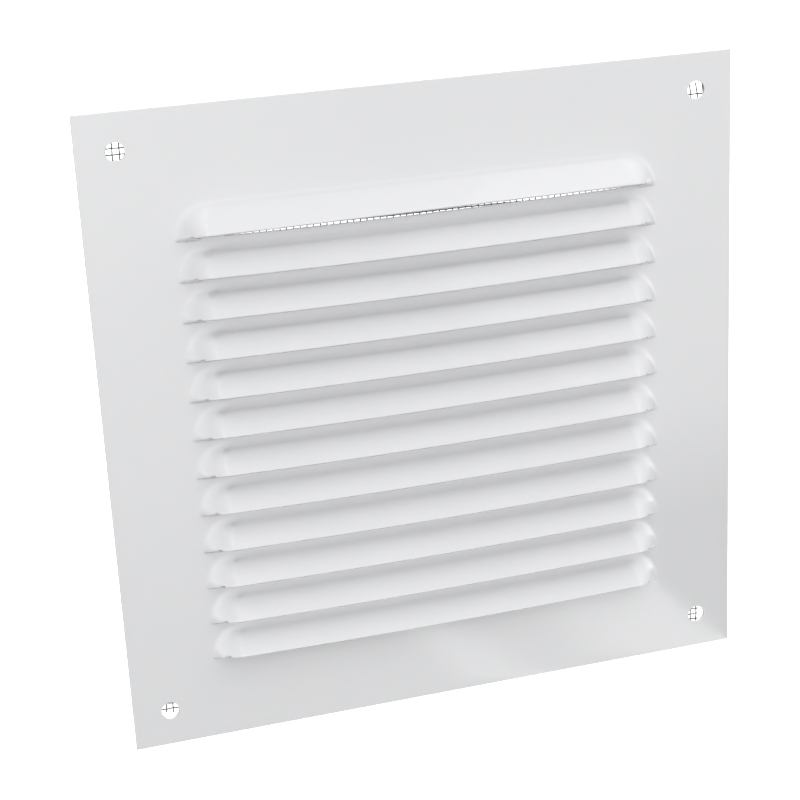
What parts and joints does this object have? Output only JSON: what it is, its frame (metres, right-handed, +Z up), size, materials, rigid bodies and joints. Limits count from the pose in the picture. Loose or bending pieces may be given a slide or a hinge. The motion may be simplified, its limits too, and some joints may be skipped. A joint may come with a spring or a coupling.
{
  "type": "louvred air grille",
  "caption": "Square wall grille pressed from thin white painted sheet, with sloping closed-end louvres, corner screw holes and an insect screen bonded to its back.",
  "frame": {"origin": "centre of the plane that meets the wall, which is the back of the insect screen", "axes": "+Z up, the louvred face looks along -Y, +Y points into the wall, +X to the right as seen from the front"},
  "size_m": [0.2, 0.008, 0.2],
  "materials": {
    "white_paint": "smooth semi-gloss white paint",
    "screen_wire": "dull dark grey woven wire",
    "adhesive": "set hot-melt adhesive, slightly glossy"
  },
  "bodies": {
    "root": {"face_plate": "white_paint", "insect_screen": "screen_wire", "adhesive_left_upper": "adhesive", "adhesive_left_lower": "adhesive", "adhesive_right_upper": "adhesive", "adhesive_right_lower": "adhesive", "adhesive_top_left": "adhesive", "adhesive_top_right": "adhesive", "adhesive_bottom_left": "adhesive", "adhesive_bottom_right": "adhesive"}
  },
  "joints": []
}
